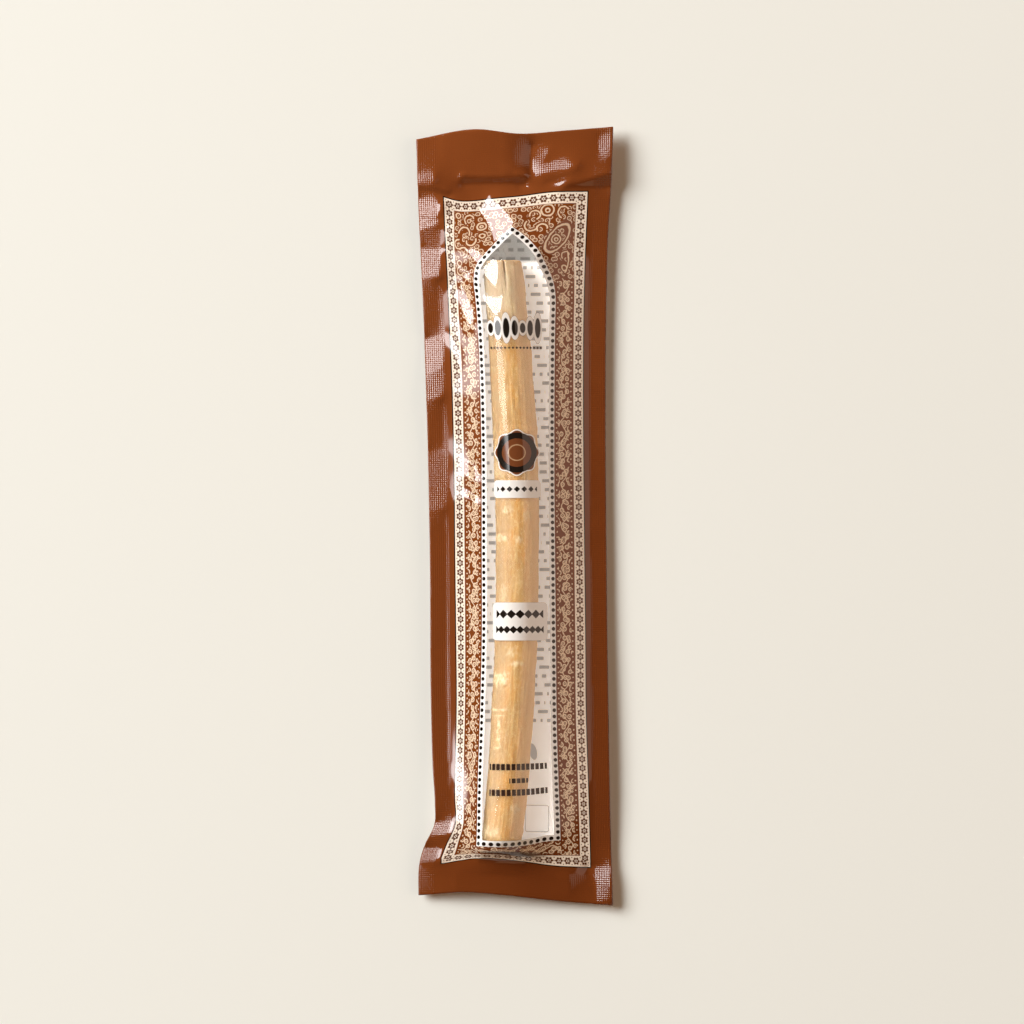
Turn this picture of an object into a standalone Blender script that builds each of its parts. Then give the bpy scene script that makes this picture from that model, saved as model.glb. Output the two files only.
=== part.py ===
# Miswak stick sealed in a flat film sachet, which lies on its back film.
# The stick is one piece of bowed, tapered wood. The sachet is two thin films
# that are sealed together on all four sides and stretch over the stick.
# Frame: +X across the sachet, +Y along it towards its upper end, +Z up.
# The origin is the middle of the footprint, on the surface that it rests on.

import math

import bmesh
import bpy
import numpy as np

MM = 0.001
OBJECT_NAME = "miswak_sachet"

# Stick
STICK_TOP_END = 66.0 * MM
STICK_LOW_END = -84.0 * MM
STICK_MIDDLE = (STICK_TOP_END + STICK_LOW_END) / 2
STICK_BOW = 4.0 * MM
STICK_BOW_CENTRE_X = 0.75 * MM
STICK_RADII = [(-84, 5.15), (-70, 5.3), (-45, 5.45), (-10, 5.5), (30, 5.6), (50, 5.3), (66, 5.0)]
STICK_LUMPS = [(-72, 60, 0.16), (-58, 115, 0.2), (-41, 70, 0.18), (-27, 120, 0.14), (12, 80, 0.16),
               (38, 110, 0.12), (-50, 300, 0.15), (24, 250, 0.14)]
LUMP_LENGTH = 5.0
LUMP_ANGLE = 32.0
STICK_SIDES = 32
STICK_RING_STEP = 3.75 * MM

# Sachet, in the plane of the table
FLAT_WIDTH = 51.0 * MM
SIDE_SEAL = 4.3 * MM
UPPER_EDGE = [(-25.5, 97.5), (-10, 100.1), (1, 99.0), (13, 99.8), (25.5, 100.75)]
LOWER_EDGE = [(-25, -98.1), (-13, -97.3), (-3, -98.0), (8.4, -99.3), (25.5, -100.75)]
UPPER_SEAL_LINE = [(-25.5, 85.3), (-19, 83.6), (-15, 82.6), (-8, 84.0), (4, 84.9), (25.5, 85.3)]
LOWER_SEAL_LINE = [(-25, -89.6), (-18.5, -89.4), (-8.7, -88.0), (12, -90.5), (19.8, -91.0), (25.5, -91.0)]
LEFT_INSET = [(100, 0), (84, 0.5), (58, 1.7), (20, 3.0), (-11, 3.6), (-50, 3.9), (-66, 4.4),
              (-74, 4.9), (-80, 4.7), (-85, 2.3), (-89, 1.1), (-99, 0.6)]
RIGHT_INSET = [(100, 0), (88, 0.4), (72, 1.3), (56, 1.7), (-11, 1.7), (-50, 1.2), (-86, 0.5), (-100, 0.1)]

# Sachet, height of the sealed edges over the table
LEFT_HEIGHT = [(98, 3.0), (70, 2.1), (30, 2.4), (-20, 2.7), (-62, 3.2), (-79, 4.8), (-86, 3.2), (-98, 1.7)]
RIGHT_HEIGHT = [(100, 4.0), (80, 2.7), (40, 2.2), (-20, 2.3), (-70, 2.7), (-90, 2.1), (-100, 2.5)]
UPPER_HEIGHT = [(-25.5, 2.8), (-14, 2.4), (-4, 4.4), (6, 3.0), (16, 3.0), (25.5, 4.2)]
LOWER_HEIGHT = [(-25, 1.6), (-13, 3.0), (-3, 3.6), (8.4, 2.5), (25.5, 2.3)]

# Films
FILM = 0.25 * MM
SEAL_GAP = 0.2 * MM
STICK_GAP = 0.3 * MM
END_MARGIN = 0.9 * MM
STRIP_HALF_WIDTH = 6.3 * MM
STICK_AXIS_HEIGHT = FILM + STICK_GAP + 5.6 * MM

# Mesh lines of both films
BAND_ROWS = 3
STICK_ROW_STEP = 7.2 * MM
SLOPE_COLUMNS = (0.3, 0.65)
STICK_COLUMNS = (-1.0, -0.72, -0.45, -0.2, 0.0, 0.2, 0.45, 0.72, 1.0)

# Height field that the drawn film is worked out on
FIELD_STEP = 0.75 * MM
FIELD_HALF_X = 26.25 * MM
FIELD_HALF_Y = 102.0 * MM
RELAX_ROUNDS = 700
RELAX_FACTOR = 1.88


def curve_through(points, at):
    """Smooth curve through (place, value) points in millimetres, read at places in metres."""
    place, value = np.array(sorted(points), dtype=float).T * MM
    at = np.clip(np.asarray(at, dtype=float), place[0], place[-1])
    slope = np.gradient(value, place)
    low = np.clip(np.searchsorted(place, at) - 1, 0, len(place) - 2)
    span = place[low + 1] - place[low]
    t = (at - place[low]) / span
    start = value[low] * (1 + 2 * t) * (1 - t) ** 2 + value[low + 1] * t * t * (3 - 2 * t)
    return start + span * (slope[low] * t * (1 - t) ** 2 - slope[low + 1] * t * t * (1 - t))


def smooth_step(low, high, at):
    t = np.clip((at - low) / (high - low), 0.0, 1.0)
    return t * t * (3 - 2 * t)


def stick_axis_x(y):
    """The stick lies bowed, with its middle furthest to the right."""
    half_length = (STICK_TOP_END - STICK_LOW_END) / 2
    return STICK_BOW_CENTRE_X - STICK_BOW * ((y - STICK_MIDDLE) / half_length) ** 2


def left_edge(y):
    return -FLAT_WIDTH / 2 + curve_through(LEFT_INSET, y)


def right_edge(y):
    return FLAT_WIDTH / 2 - curve_through(RIGHT_INSET, y)


def seal_height(x, y):
    """Height of the plane between the two films, where they are sealed together."""
    across = np.clip((x - left_edge(y)) / (right_edge(y) - left_edge(y)), 0.0, 1.0)
    sides = curve_through(LEFT_HEIGHT, y) * (1 - across) + curve_through(RIGHT_HEIGHT, y) * across
    upper = smooth_step(80 * MM, 88 * MM, y)
    lower = smooth_step(-84 * MM, -91 * MM, y)
    return (sides * (1 - upper - lower) + curve_through(UPPER_HEIGHT, x) * upper
            + curve_through(LOWER_HEIGHT, x) * lower)


def is_sealed(x, y):
    return ((x < left_edge(y) + SIDE_SEAL) | (x > right_edge(y) - SIDE_SEAL)
            | (y > curve_through(UPPER_SEAL_LINE, x)) | (y < curve_through(LOWER_SEAL_LINE, x)))


def stick_covers(x, y):
    beside = np.abs(x - stick_axis_x(y)) < STRIP_HALF_WIDTH
    return beside & (y < STICK_TOP_END + END_MARGIN) & (y > STICK_LOW_END - END_MARGIN)


def relax(height, free, floor):
    """Stretch a film between its fixed places, and lift it to the floor given under it."""
    rows, columns = np.indices(height.shape)
    inner = (rows > 0) & (rows < height.shape[0] - 1) & (columns > 0) & (columns < height.shape[1] - 1)
    colours = [free & inner & ((rows + columns) % 2 == colour) for colour in (0, 1)]
    for _ in range(RELAX_ROUNDS):
        for colour in colours:
            mean = np.zeros_like(height)
            mean[1:-1, 1:-1] = (height[:-2, 1:-1] + height[2:, 1:-1] + height[1:-1, :-2] + height[1:-1, 2:]) / 4
            moved = np.maximum(height + RELAX_FACTOR * (mean - height), floor)
            height = np.where(colour, moved, height)
    return height


class FilmHeights:
    """Heights of the inner faces of both films, worked out once on a fine level field."""

    def __init__(self):
        self.x = np.arange(-FIELD_HALF_X, FIELD_HALF_X + FIELD_STEP / 2, FIELD_STEP)
        self.y = np.arange(-FIELD_HALF_Y, FIELD_HALF_Y + FIELD_STEP / 2, FIELD_STEP)
        x, y = np.meshgrid(self.x, self.y)
        sealed = is_sealed(x, y)
        seal = seal_height(x, y)
        covered = stick_covers(x, y)
        radius = curve_through(STICK_RADII, y) + STICK_GAP
        offset = np.clip(np.abs(x - stick_axis_x(y)) / radius, 0.0, 1.0)
        over_stick = STICK_AXIS_HEIGHT + radius * np.sqrt(1 - offset ** 2) + max_lump()
        floor = np.where(covered & (offset < 1), over_stick, FILM + SEAL_GAP)
        start = np.where(sealed, seal + SEAL_GAP / 2, np.maximum(seal, floor))
        self.front = relax(start, ~sealed, floor)
        start = np.where(covered, FILM, seal - SEAL_GAP / 2)
        self.back = relax(start, ~sealed & ~covered, np.full_like(start, FILM))

    def read(self, field, x, y):
        column = (x + FIELD_HALF_X) / FIELD_STEP
        row = (y + FIELD_HALF_Y) / FIELD_STEP
        low_column = np.clip(column.astype(int), 0, len(self.x) - 2)
        low_row = np.clip(row.astype(int), 0, len(self.y) - 2)
        across = column - low_column
        along = row - low_row
        below = field[low_row, low_column] * (1 - across) + field[low_row, low_column + 1] * across
        above = field[low_row + 1, low_column] * (1 - across) + field[low_row + 1, low_column + 1] * across
        return below * (1 - along) + above * along


def max_lump():
    return max(height for _, _, height in STICK_LUMPS) * MM


def column_x(y):
    """The films' mesh columns at one height: sealed edges, slopes, and the strip over the stick."""
    left = left_edge(y)
    right = right_edge(y)
    middle = stick_axis_x(y)
    strip = [middle + place * STRIP_HALF_WIDTH for place in STICK_COLUMNS]
    left_slope = [left + SIDE_SEAL + share * (strip[0] - left - SIDE_SEAL) for share in SLOPE_COLUMNS]
    right_slope = [right - SIDE_SEAL + share * (strip[-1] - right + SIDE_SEAL) for share in SLOPE_COLUMNS]
    columns = [left, left + SIDE_SEAL / 2, left + SIDE_SEAL, *left_slope, *strip]
    return columns + [*reversed(right_slope), right - SIDE_SEAL, right - SIDE_SEAL / 2, right]


def film_rows():
    """The films' mesh rows, each as a level y and its share of the way into an end band."""
    rows = [("lower", share) for share in np.linspace(1.0, 0.0, BAND_ROWS)]
    rows += [("level", place * MM) for place in (-87.2, -85.6)]
    count = round((STICK_TOP_END - STICK_LOW_END) / STICK_ROW_STEP)
    rows += [("level", y) for y in np.linspace(STICK_LOW_END, STICK_TOP_END, count + 1)]
    rows += [("level", place * MM) for place in (68.5, 73, 78)]
    return rows + [("upper", share) for share in np.linspace(0.0, 1.0, BAND_ROWS)]


def film_points():
    """Plan places of the films' mesh points, as two arrays of rows by columns."""
    xs, ys = [], []
    for kind, value in film_rows():
        level = {"lower": -89.5 * MM - 9 * MM * value, "upper": 84.5 * MM + 15 * MM * value}.get(kind, value)
        x = np.array(column_x(level))
        if kind == "lower":
            y = curve_through(LOWER_SEAL_LINE, x) * (1 - value) + curve_through(LOWER_EDGE, x) * value
        elif kind == "upper":
            y = curve_through(UPPER_SEAL_LINE, x) * (1 - value) + curve_through(UPPER_EDGE, x) * value
        else:
            y = np.full_like(x, level)
        xs.append(x)
        ys.append(y)
    return np.array(xs), np.array(ys)


def make_material(name, colour, roughness, alpha=1.0):
    material = bpy.data.materials.new(name)
    material.use_nodes = True
    shader = material.node_tree.nodes["Principled BSDF"]
    shader.inputs["Base Color"].default_value = (*colour, 1.0)
    shader.inputs["Roughness"].default_value = roughness
    shader.inputs["Metallic"].default_value = 0.0
    shader.inputs["Alpha"].default_value = alpha
    material.diffuse_color = (*colour, alpha)
    return material


def add_object(name, mesh, material, collection):
    piece = bpy.data.objects.new(name, mesh)
    collection.objects.link(piece)
    mesh.materials.append(material)
    return piece


def build_film(name, heights, face_up, material, collection):
    """A film: a grid laid over the height field, thickened away from the other film."""
    x, y = film_points()
    rows, columns = x.shape
    mesh = bpy.data.meshes.new(name)
    grid = bmesh.new()
    bmesh.ops.create_grid(grid, x_segments=columns - 1, y_segments=rows - 1, size=0.5)
    field = heights.front if face_up else heights.back
    level = np.where(is_sealed(x, y), seal_height(x, y) + (SEAL_GAP if face_up else -SEAL_GAP) / 2,
                     heights.read(field, x, y))
    for vertex in grid.verts:
        column = round((vertex.co.x + 0.5) * (columns - 1))
        row = round((vertex.co.y + 0.5) * (rows - 1))
        vertex.co = (x[row, column], y[row, column], level[row, column])
    if not face_up:
        bmesh.ops.reverse_faces(grid, faces=grid.faces)
    grid.to_mesh(mesh)
    grid.free()
    film = add_object(name, mesh, material, collection)
    thicken = film.modifiers.new("film thickness", "SOLIDIFY")
    thicken.thickness = FILM
    thicken.offset = 1.0
    return film


def stick_radius(y, angle):
    """Radius of the stick at one place, with its low knots and swellings, in metres and degrees."""
    radius = curve_through(STICK_RADII, y)
    for place, side, height in STICK_LUMPS:
        along = (y / MM - place) / LUMP_LENGTH
        around = ((angle - side + 180) % 360 - 180) / LUMP_ANGLE
        radius += height * MM * math.exp(-along * along - around * around)
    return radius


def build_stick(material, collection):
    """A cylinder cut into rings, then tapered, bowed and given its swellings."""
    length = STICK_TOP_END - STICK_LOW_END
    rod = bmesh.new()
    bmesh.ops.create_cone(rod, cap_ends=True, segments=STICK_SIDES, radius1=1.0, radius2=1.0, depth=length)
    for ring in range(1, round(length / STICK_RING_STEP)):
        bmesh.ops.bisect_plane(rod, geom=rod.verts[:] + rod.edges[:] + rod.faces[:], dist=1e-7,
                               plane_co=(0, 0, -length / 2 + ring * STICK_RING_STEP), plane_no=(0, 0, 1))
    for vertex in rod.verts:
        y = STICK_MIDDLE + vertex.co.z
        angle = math.degrees(math.atan2(vertex.co.y, -vertex.co.x)) % 360
        radius = float(stick_radius(y, angle))
        vertex.co = (float(stick_axis_x(y)) - vertex.co.x * radius, y,
                     STICK_AXIS_HEIGHT + vertex.co.y * radius)
    bmesh.ops.recalc_face_normals(rod, faces=rod.faces)
    mesh = bpy.data.meshes.new("miswak_stick")
    rod.to_mesh(mesh)
    rod.free()
    mesh.shade_smooth()
    mesh.set_sharp_from_angle(angle=math.radians(50))
    return add_object("miswak_stick", mesh, material, collection)


def main():
    for old in list(bpy.data.objects):
        bpy.data.objects.remove(old, do_unlink=True)
    collection = bpy.data.collections.new(OBJECT_NAME)
    bpy.context.scene.collection.children.link(collection)

    wood = make_material("peeled root wood", (0.78, 0.52, 0.26), 0.65)
    printed = make_material("printed clear film", (0.16, 0.04, 0.014), 0.22, alpha=0.6)
    backing = make_material("pale printed film", (0.5, 0.44, 0.38), 0.3)

    heights = FilmHeights()
    build_stick(wood, collection)
    build_film("front_film", heights, True, printed, collection)
    build_film("back_film", heights, False, backing, collection)


main()
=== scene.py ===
import math

import bpy
import numpy as np
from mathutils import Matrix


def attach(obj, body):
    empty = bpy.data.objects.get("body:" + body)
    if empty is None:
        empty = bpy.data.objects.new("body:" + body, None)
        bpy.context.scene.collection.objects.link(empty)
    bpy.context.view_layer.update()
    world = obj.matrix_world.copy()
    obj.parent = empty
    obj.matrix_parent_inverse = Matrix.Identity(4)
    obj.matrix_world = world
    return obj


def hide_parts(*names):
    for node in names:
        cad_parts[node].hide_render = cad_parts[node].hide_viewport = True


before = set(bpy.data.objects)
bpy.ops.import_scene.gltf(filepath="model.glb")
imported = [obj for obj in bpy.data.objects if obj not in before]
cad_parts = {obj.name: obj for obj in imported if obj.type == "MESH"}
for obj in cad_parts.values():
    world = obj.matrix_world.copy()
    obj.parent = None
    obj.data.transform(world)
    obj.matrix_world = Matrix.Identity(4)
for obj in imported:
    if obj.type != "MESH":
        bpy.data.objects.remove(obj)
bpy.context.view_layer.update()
bpy.ops.object.select_all(action="DESELECT")
mm = 0.001  # shapes are worked out in millimetres and put into meshes in metres
print("frame loaded:", sorted(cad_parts))


# the sachet's outline and the way its films hang, in millimetres

sachet = {
    "flatWidth": 51.0,
    "sideSeal": 4.3,
    "upperEdge": [(-25.5, 97.5), (-10, 100.1), (1, 99.0), (13, 99.8), (25.5, 100.75)],
    "lowerEdge": [(-25, -98.1), (-13, -97.3), (-3, -98.0), (8.4, -99.3), (25.5, -100.75)],
    "upperSealLine": [(-25.5, 85.3), (-19, 83.6), (-15, 82.6), (-8, 84.0), (4, 84.9), (25.5, 85.3)],
    "lowerSealLine": [(-25, -89.6), (-18.5, -89.4), (-8.7, -88.0), (12, -90.5), (19.8, -91.0),
                      (25.5, -91.0)],
    "leftInset": [(100, 0), (84, 0.5), (58, 1.7), (20, 3.0), (-11, 3.6), (-50, 3.9), (-66, 4.4),
                  (-74, 4.9), (-80, 4.7), (-85, 2.3), (-89, 1.1), (-99, 0.6)],
    "rightInset": [(100, 0), (88, 0.4), (72, 1.3), (56, 1.7), (-11, 1.7), (-50, 1.2), (-86, 0.5),
                   (-100, 0.1)],
    "leftHeight": [(98, 3.0), (70, 2.1), (30, 2.4), (-20, 2.7), (-62, 3.2), (-79, 4.8), (-86, 3.2),
                   (-98, 1.7)],
    "rightHeight": [(100, 4.0), (80, 2.7), (40, 2.2), (-20, 2.3), (-70, 2.7), (-90, 2.1), (-100, 2.5)],
    "upperHeight": [(-25.5, 2.8), (-14, 2.4), (-4, 4.4), (6, 3.0), (16, 3.0), (25.5, 4.2)],
    "lowerHeight": [(-25, 1.6), (-13, 3.0), (-3, 3.6), (8.4, 2.5), (25.5, 2.3)],
    "film": 0.25,
    "sealGap": 0.2,
    "lowestFront": 0.45,
    "sagLeft": 0.045,
    "sagRight": 0.008,
    "fieldStep": 0.4,
    "fieldHalfWidth": 26.5,
    "fieldHalfLength": 102.0,
    "columns": 116,
    "rows": 380,
}

stick = {
    "topEnd": 66.0,
    "lowEnd": -84.0,
    "bow": 4.0,
    "bowCentreX": 0.75,
    "axisHeight": 6.15,
    "filmGap": 0.3,
    "swell": 0.2,
    "stripHalfWidth": 6.3,
    "endMargin": 0.9,
    "radii": [(-84, 5.15), (-70, 5.3), (-45, 5.45), (-10, 5.5), (30, 5.6), (50, 5.3), (66, 5.0)],
}


def curveThrough(points, at):
    place, value = np.array(sorted(points), dtype=float).T
    at = np.clip(np.asarray(at, dtype=float), place[0], place[-1])
    slope = np.gradient(value, place)
    low = np.clip(np.searchsorted(place, at) - 1, 0, len(place) - 2)
    span = place[low + 1] - place[low]
    t = (at - place[low]) / span
    start = value[low] * (1 + 2 * t) * (1 - t) ** 2 + value[low + 1] * t * t * (3 - 2 * t)
    return start + span * (slope[low] * t * (1 - t) ** 2 - slope[low + 1] * t * t * (1 - t))


def smoothStep(low, high, at):
    t = np.clip((at - low) / (high - low), 0.0, 1.0)
    return t * t * (3 - 2 * t)


def stickAxisX(y):
    middle = (stick["topEnd"] + stick["lowEnd"]) / 2
    half = (stick["topEnd"] - stick["lowEnd"]) / 2
    return stick["bowCentreX"] - stick["bow"] * ((y - middle) / half) ** 2


def leftEdge(y):
    return -sachet["flatWidth"] / 2 + curveThrough(sachet["leftInset"], y)


def rightEdge(y):
    return sachet["flatWidth"] / 2 - curveThrough(sachet["rightInset"], y)


def sealHeight(x, y):
    across = np.clip((x - leftEdge(y)) / (rightEdge(y) - leftEdge(y)), 0.0, 1.0)
    left = curveThrough(sachet["leftHeight"], y)
    right = curveThrough(sachet["rightHeight"], y)
    sides = left * (1 - across) + right * across
    upper = smoothStep(80, 88, y)
    lower = smoothStep(-84, -91, y)
    return (sides * (1 - upper - lower) + curveThrough(sachet["upperHeight"], x) * upper
            + curveThrough(sachet["lowerHeight"], x) * lower)


def isSealed(x, y):
    beside = (x < leftEdge(y) + sachet["sideSeal"]) | (x > rightEdge(y) - sachet["sideSeal"])
    above = y > curveThrough(sachet["upperSealLine"], x)
    below = y < curveThrough(sachet["lowerSealLine"], x)
    return beside | above | below


def averageNeighbours(height, mean):
    # each inner place of mean takes the average of its four neighbours in height
    mean[1:-1, 1:-1] = (height[:-2, 1:-1] + height[2:, 1:-1] + height[1:-1, :-2] + height[1:-1, 2:]) / 4


def innerPlaces(shape):
    # the sum of row and column at each place, and whether the place is off the rim
    rows, columns = np.indices(shape)
    inner = (rows > 0) & (rows < shape[0] - 1) & (columns > 0) & (columns < shape[1] - 1)
    return rows + columns, inner


def relax(height, free, floor, load=0.0, rounds=500, factor=1.9):
    places, inner = innerPlaces(height.shape)
    colours = [free & inner & (places % 2 == colour) for colour in (0, 1)]
    mean = np.zeros_like(height)
    for _ in range(rounds):
        for colour in colours:
            averageNeighbours(height, mean)
            moved = np.maximum(height + factor * (mean - load - height), floor)
            height = np.where(colour, moved, height)
    return height


# patches of film turned to a light or away from it: corners in millimetres, and the slope of each aim
folds = {
    "turns": 8,
    "sweeps": 160,
    "overstep": 1.8,
    "smoothings": 14,
    "push": 0.9,
    "lowest": 0.5,
    "highest": 12.3,
    "toLight": (0.41, -0.22),
    "toCard": (-0.39, 0.0),
    "away": (-0.1, 0.75),
    "steep": (0.5, -0.25),
    "sealHold": 9.0,
    "looseHold": 14.0,
    "calm": (0.02, 0.04),
    "glint": (0.26, -0.14),
    "spark": (0.19, -0.1),
    "overEnd": (-0.02, -0.5),
    "offSide": (0.36, 0.2),
    "offTop": (-0.02, -0.4),
    "patches": [
        ("toLight", [(-9.6, 78.9), (-6.6, 82.2), (-3.8, 80.7), (0.6, 75.6), (-0.6, 74.5), (-2.5, 71.6),
                     (-4.5, 70.8), (-6.9, 76.3)]),
        ("toLight", [(-4.5, 70.8), (-0.4, 73.9), (-0.9, 69.8), (-2.2, 66.4), (-3.2, 66.4)]),
        ("toLight", [(-15.9, 75.2), (-8.4, 67.3), (-8.5, 64.9), (-10.1, 65.4), (-13.2, 70.4),
                     (-14.9, 73.5)]),
        ("toLight", [(-25.4, 77.3), (-18.8, 76.1), (-25.0, 73.9)]),
        ("steep", [(-8.7, 65.4), (-4.3, 65.9), (-4.3, 57.9), (-7.9, 62.5)]),
        ("steep", [(-8.4, 56.8), (-3.2, 57.1), (-3.2, 50.9), (-5.6, 52.4)]),
        ("toLight", [(-14.4, 61.0), (-11.0, 53.5), (-11.5, 48.3), (-13.6, 56.1)]),
        ("toLight", [(-25.0, 82.5), (-18.8, 81.0), (-19.5, 77.8), (-25.1, 77.8)]),
        ("toLight", [(-25.0, 69.3), (-19.4, 68.7), (-19.4, 62.0), (-24.6, 62.0)]),
        ("toLight", [(4.3, 92.3), (5.2, 93.4), (7.3, 91.9), (13.9, 91.6), (16.6, 90.8), (14.1, 89.5),
                     (5.6, 88.3), (4.3, 89.2)]),
        ("toLight", [(8.3, 85.9), (14.6, 87.2), (12.0, 85.1)]),
        ("toLight", [(-24.1, -85.9), (-18.9, -85.9), (-18.9, -88.9), (-24.1, -88.9)]),
        ("toLight", [(-20.8, -79.1), (-15.9, -79.1), (-15.9, -82.2), (-20.8, -82.2)]),
        ("toLight", [(18.6, -90.8), (25.0, -90.8), (25.0, -96.5), (21.5, -95.0)]),
        ("glint", [(20.5, -95.6), (25.0, -96.8), (25.0, -99.3), (21.5, -99.1)]),
        ("toCard", [(12.6, 76.3), (15.9, 80.4), (14.6, 68.0), (7.6, 67.7), (6.3, 71.6)]),
        ("away", [(-13.9, 88.2), (3.0, 88.2), (3.0, 86.1), (-13.9, 86.1)]),
        ("away", [(-25.5, 85.9), (-20.1, 84.9), (-16.7, 83.7), (-16.7, 82.8), (-20.1, 83.9),
                  (-25.5, 84.9)]),
        ("away", [(13.1, 85.3), (25.0, 88.7), (25.0, 85.3)]),
        ("offSide", [(-17.5, 74.2), (-16.4, 74.4), (-13.6, 70.1), (-10.6, 64.9), (-11.5, 62.6),
                     (-16.2, 65.9)]),
        ("offTop", [(-15.1, 78.9), (-10.4, 78.6), (-7.5, 76.0), (-5.2, 70.8), (-8.0, 67.8), (-15.0, 75.2)]),
        ("toLight", [(-23.6, 45.9), (-19.4, 46.6), (-18.6, 38.0), (-22.6, 36.2)]),
        ("glint", [(-23.0, 36.2), (-18.6, 38.0), (-18.6, 31.0), (-22.3, 30.0)]),
        ("spark", [(-22.2, 17.2), (-18.2, 17.2), (-18.0, 2.0), (-21.6, 2.0)]),
        ("glint", [(-15.5, 97.2), (-12.1, 97.2), (-12.1, 95.4), (-15.5, 95.4)]),
        ("glint", [(-25.2, 88.7), (-20.9, 88.7), (-20.9, 86.3), (-25.2, 86.3)]),
        ("glint", [(4.5, 96.0), (9.0, 95.2), (8.0, 92.3), (4.5, 92.6)]),
        ("glint", [(21.8, 98.3), (25.2, 98.3), (25.2, 93.0), (21.8, 93.0)]),
        ("glint", [(-11.6, 13.4), (-10.3, 13.4), (-10.1, 10.0), (-11.6, 10.0)]),
        ("glint", [(-11.8, 5.6), (-9.9, 5.6), (-9.9, 4.4), (-11.8, 4.4)]),
        ("away", [(-8.7, -85.5), (-3.8, -84.9), (1.4, -86.2), (6.1, -88.2), (1.4, -87.5), (-3.8, -86.5),
                  (-8.7, -86.5)]),
        ("overEnd", [(0.4, 74.4), (5.6, 69.4), (8.6, 64.2), (6.4, 66.9), (-0.6, 67.0)]),
        ("calm", [(-15.0, -92.5), (14.0, -93.5), (14.0, -98.0), (-15.0, -96.5)]),
        ("calm", [(-18.0, 99.5), (-3.5, 99.5), (-3.5, 89.0), (-18.0, 89.0)]),
    ],
}


def insideOf(corners, x, y):
    # even-odd rule with an edge about one field step soft
    total = np.zeros_like(x)
    shifts = (-0.3, 0.0, 0.3)
    for dx in shifts:
        for dy in shifts:
            px, py = x + dx * sachet["fieldStep"], y + dy * sachet["fieldStep"]
            inside = np.zeros(x.shape, dtype=bool)
            for (x1, y1), (x2, y2) in zip(corners, corners[1:] + corners[:1]):
                if y1 != y2:
                    crosses = (y1 > py) != (y2 > py)
                    inside ^= crosses & (px < (x2 - x1) * (py - y1) / (y2 - y1) + x1)
            total += inside
    return total / 9


def patchAims(x, y):
    share, aimX, aimY = np.zeros_like(x), np.zeros_like(x), np.zeros_like(x)
    for aim, corners in folds["patches"]:
        inside = insideOf(corners, x, y)
        share = np.maximum(share, inside)
        aimX = np.where(inside > 0, folds[aim][0], aimX)
        aimY = np.where(inside > 0, folds[aim][1], aimY)
    return share, aimX, aimY


def makeHeightField():
    step = sachet["fieldStep"]
    wide, long = sachet["fieldHalfWidth"], sachet["fieldHalfLength"]
    x, y = np.meshgrid(np.arange(-wide, wide + step / 2, step), np.arange(-long, long + step / 2, step))
    sealed = isSealed(x, y)
    seal = sealHeight(x, y)
    margin = stick["endMargin"]
    offset = x - stickAxisX(y)
    onStick = np.abs(offset) < stick["stripHalfWidth"]
    covered = onStick & (y < stick["topEnd"] + margin) & (y > stick["lowEnd"] - margin)
    radius = curveThrough(stick["radii"], y) + stick["filmGap"] + stick["swell"]
    share = np.clip(np.abs(offset) / radius, 0, 1)
    overStick = stick["axisHeight"] + radius * np.sqrt(1 - share ** 2)
    floor = np.where(covered & (share < 1), overStick, sachet["lowestFront"])
    start = np.where(sealed, seal + sachet["sealGap"] / 2, np.maximum(seal, floor))
    load = np.where(offset < 0, sachet["sagLeft"], sachet["sagRight"]) * step * step / 4
    base = relax(start, ~sealed, floor, load)
    # the seals take the folds softly, the loose film takes them between the seals and the stick
    hold = step * step / 4 / np.where(sealed, folds["sealHold"], folds["looseHold"]) ** 2
    patch, aimX, aimY = patchAims(x, y)
    pullX, pullY = np.zeros_like(base), np.zeros_like(base)
    places, inner = innerPlaces(base.shape)
    height, mean = base.copy(), base.copy()
    for _ in range(folds["turns"]):
        slopeY, slopeX = np.gradient(height, step)
        pullX += folds["push"] * patch * (aimX - slopeX)
        pullY += folds["push"] * patch * (aimY - slopeY)
        pull = (np.gradient(pullX, step, axis=1) + np.gradient(pullY, step, axis=0)) * step * step / 4
        lift = height - base
        for half in range(folds["sweeps"]):
            averageNeighbours(lift, mean)
            moved = lift + folds["overstep"] * ((mean - pull) / (1 + hold) - lift)
            moved = np.clip(moved, np.where(sealed, folds["lowest"], floor) - base, folds["highest"] - base)
            lift = np.where(inner & ((places + half) % 2 == 0), moved, lift)
        height = base + lift
    for _ in range(folds["smoothings"]):
        along = height.copy()
        along[1:-1] = (height[:-2] + 2 * height[1:-1] + height[2:]) / 4
        height = np.where(onStick & (patch == 0), along, height)
    edge = [height[1], height[-2], height[:, 1], height[:, -2]]
    height[0], height[-1], height[:, 0], height[:, -1] = edge
    start = np.where(covered, sachet["film"], np.where(sealed, height - sachet["sealGap"], seal - 0.1))
    back = relax(start, ~sealed & ~covered, np.full_like(start, sachet["film"]))
    return {"front": height, "back": back, "x0": -wide, "y0": -long, "step": step}


def readField(field, name, x, y):
    # cubic B-spline reading, so that reflections see no facets
    values = field[name]
    column = (x - field["x0"]) / field["step"]
    row = (y - field["y0"]) / field["step"]
    lowColumn = np.clip(np.floor(column).astype(int), 1, values.shape[1] - 3)
    lowRow = np.clip(np.floor(row).astype(int), 1, values.shape[0] - 3)

    def weights(t):
        return ((1 - t) ** 3 / 6, (3 * t ** 3 - 6 * t ** 2 + 4) / 6,
                (-3 * t ** 3 + 3 * t ** 2 + 3 * t + 1) / 6, t ** 3 / 6)

    across = weights(column - lowColumn)
    along = weights(row - lowRow)
    total = 0.0
    for j in range(4):
        for i in range(4):
            total = total + along[j] * across[i] * values[lowRow + j - 1, lowColumn + i - 1]
    return total


heightField = makeHeightField()
print("film heights worked out")


# where the print's lines lie on the flat film, and the places that they take when drawn over the stick

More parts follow.
